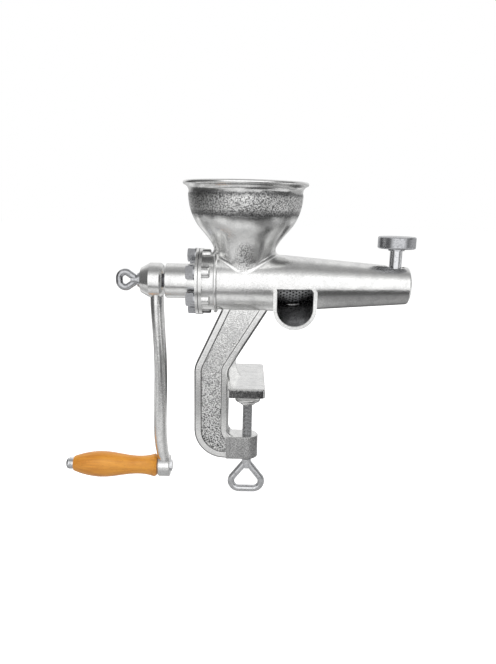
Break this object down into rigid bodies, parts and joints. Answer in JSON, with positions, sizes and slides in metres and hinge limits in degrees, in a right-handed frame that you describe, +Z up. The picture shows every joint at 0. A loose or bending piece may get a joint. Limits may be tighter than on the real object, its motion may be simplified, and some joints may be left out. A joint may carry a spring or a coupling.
{
  "type": "hand-crank auger juicer",
  "caption": "Table-clamped hand-crank juicer: hopper over a tapering barrel with a feed screw, strainer and juice chute, crank with wooden grip, pulp throttle and clamp screw.",
  "frame": {"origin": "on the clamp screw's axis, at the underside of the jaw that rests on the table", "axes": "+X from the crank towards the pulp outlet, +Z up, the juice chute points along -Y"},
  "size_m": [0.3545, 0.1214, 0.325],
  "materials": {
    "tinned_iron": "bright hot-dip tin over a sand-cast surface",
    "bright_steel": "bright tinned steel",
    "strainer_steel": "bright perforated sheet",
    "bush_brass": "turned",
    "gasket_rubber": "matte",
    "grip_wood": "clear lacquer over turned wood"
  },
  "bodies": {
    "frame": {"body_casting": "tinned_iron", "strainer": "strainer_steel", "bearing_cover": "tinned_iron", "bearing_bush": "bush_brass", "cover_gasket": "gasket_rubber", "cover_bolts": "bright_steel", "cover_washers": "bright_steel", "thrust_washer": "bush_brass"},
    "crank": {"auger": "tinned_iron", "crank_arm": "tinned_iron", "handle_pin": "bright_steel", "pin_nut": "bright_steel", "grip_washer": "bright_steel"},
    "grip": {"wooden_grip": "grip_wood"},
    "eye_washer": {"crank_washer": "bright_steel"},
    "eye_screw": {"crank_eye_screw": "bright_steel"},
    "pad": {"clamp_pad": "tinned_iron"},
    "screw": {"clamp_screw": "bright_steel"},
    "throttle": {"throttle_stem": "bright_steel"},
    "knob": {"throttle_knob": "bright_steel"}
  },
  "joints": [
    {"name": "crank_turn", "type": "hinge", "parent": "frame", "child": "crank", "pos_m": [-0.0979, 0, 0.1059], "axis": [1, 0, 0], "continuous": true},
    {"name": "grip_spin", "type": "hinge", "parent": "crank", "child": "grip", "pos_m": [-0.14, 0, -0.0937], "axis": [1, 0, 0], "continuous": true},
    {"name": "eye_travel", "type": "slide", "parent": "crank", "child": "eye_washer", "axis": [-1, 0, 0], "range_m": [0, 0.01]},
    {"name": "eye_turn", "type": "hinge", "parent": "eye_washer", "child": "eye_screw", "pos_m": [-0.1104, 0, 0.1059], "axis": [-1, 0, 0], "range_deg": [0, 2885]},
    {"name": "clamp_travel", "type": "slide", "parent": "frame", "child": "pad", "axis": [0, 0, 1], "range_m": [-0.033, 0.0044]},
    {"name": "clamp_turn", "type": "hinge", "parent": "pad", "child": "screw", "pos_m": [0, 0, -0.05], "axis": [0, 0, 1], "range_deg": [-7925, 1061]},
    {"name": "throttle_travel", "type": "slide", "parent": "frame", "child": "throttle", "axis": [0, 0, 1], "range_m": [-0.0154, 0.003]},
    {"name": "throttle_turn", "type": "hinge", "parent": "throttle", "child": "knob", "pos_m": [0.1432, 0, 0.148], "axis": [0, 0, 1], "range_deg": [-3173, 622]}
  ],
  "couplings": [
    {"joint": "eye_turn", "follows": "eye_travel", "rad_per_m": 5026.5},
    {"joint": "clamp_turn", "follows": "clamp_travel", "rad_per_m": 4188.8},
    {"joint": "throttle_turn", "follows": "throttle_travel", "rad_per_m": 3590.4}
  ]
}
